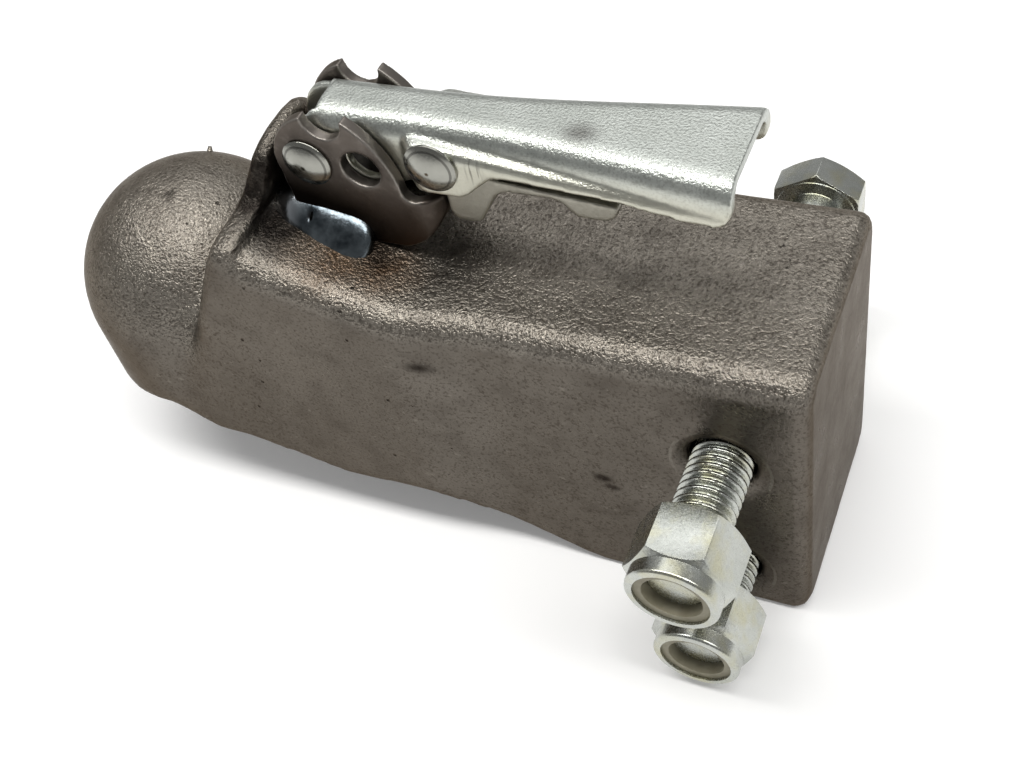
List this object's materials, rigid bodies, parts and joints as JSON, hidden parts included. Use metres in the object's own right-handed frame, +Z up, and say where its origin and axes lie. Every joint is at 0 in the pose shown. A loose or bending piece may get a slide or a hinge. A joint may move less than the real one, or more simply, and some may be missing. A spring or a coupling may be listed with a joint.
{
  "type": "trailer coupling head",
  "caption": "Cast trailer coupling head: domed ball socket, straight-sided body with a collar, lift handle with a squeeze trigger on a welded bracket, inner ball clamp and tongue bolts.",
  "frame": {"origin": "centre of the tow ball in the socket", "axes": "+X to the rear, along the body, +Y to the far side, away from the lock nuts, +Z up"},
  "size_m": [0.2319, 0.1496, 0.1345],
  "materials": {
    "cast_iron_body": "sand-cast, bare",
    "cast_clamp": "sand-cast, bare",
    "dark_steel": "dark satin",
    "weld_metal": "glossy",
    "rivet_steel": "bright",
    "zinc_handle": "zinc plated, satin",
    "zinc_trigger": "zinc plated, satin",
    "spring_steel": "satin",
    "zinc_bolt": "zinc plated, bright",
    "nylon": "matte"
  },
  "bodies": {
    "head": {"coupler_body": "cast_iron_body", "latch_bracket": "dark_steel", "weld_bead_near": "weld_metal", "weld_bead_far": "weld_metal", "handle_pivot_pin": "rivet_steel", "clamp_pivot_pin": "rivet_steel", "clamp_spring": "spring_steel", "bolt_upper": "zinc_bolt", "bolt_lower": "zinc_bolt", "lock_nut_upper": "zinc_bolt", "lock_nut_lower": "zinc_bolt", "nylon_ring_upper": "nylon", "nylon_ring_lower": "nylon"},
    "handle": {"latch_handle": "zinc_handle", "trigger_pin": "rivet_steel", "trigger_spring": "spring_steel", "link_pin_upper": "rivet_steel"},
    "trigger": {"latch_trigger": "zinc_trigger"},
    "link": {"draw_link": "dark_steel"},
    "clamp": {"ball_clamp": "cast_clamp", "link_pin_lower": "rivet_steel"}
  },
  "joints": [
    {"name": "handle_lift", "type": "hinge", "parent": "head", "child": "handle", "pos_m": [0.06502, 0, 0.065], "axis": [0, -1, 0], "range_deg": [0, 55], "stiffness_Nm_per_rad": 1.2, "springref_deg": -17.19},
    {"name": "trigger_squeeze", "type": "hinge", "parent": "handle", "child": "trigger", "pos_m": [0.10032, 0, 0.069], "axis": [0, -1, 0], "range_deg": [0, 9], "stiffness_Nm_per_rad": 0.5, "springref_deg": -11.46, "deforming": ["trigger_spring"]},
    {"name": "link_swing", "type": "hinge", "parent": "handle", "child": "link", "pos_m": [0.07002, 0, 0.05634], "axis": [0, -1, 0], "range_deg": [-57.5, 0]},
    {"name": "clamp_swing", "type": "hinge", "parent": "head", "child": "clamp", "pos_m": [0.05102, 0, 0.006], "axis": [0, -1, 0], "range_deg": [0, 21.1], "deforming": ["clamp_spring"]}
  ],
  "couplings": [
    {"joint": "link_swing", "follows": "handle_lift", "ratio": -1.0436},
    {"joint": "clamp_swing", "follows": "handle_lift", "ratio": 0.3818}
  ]
}
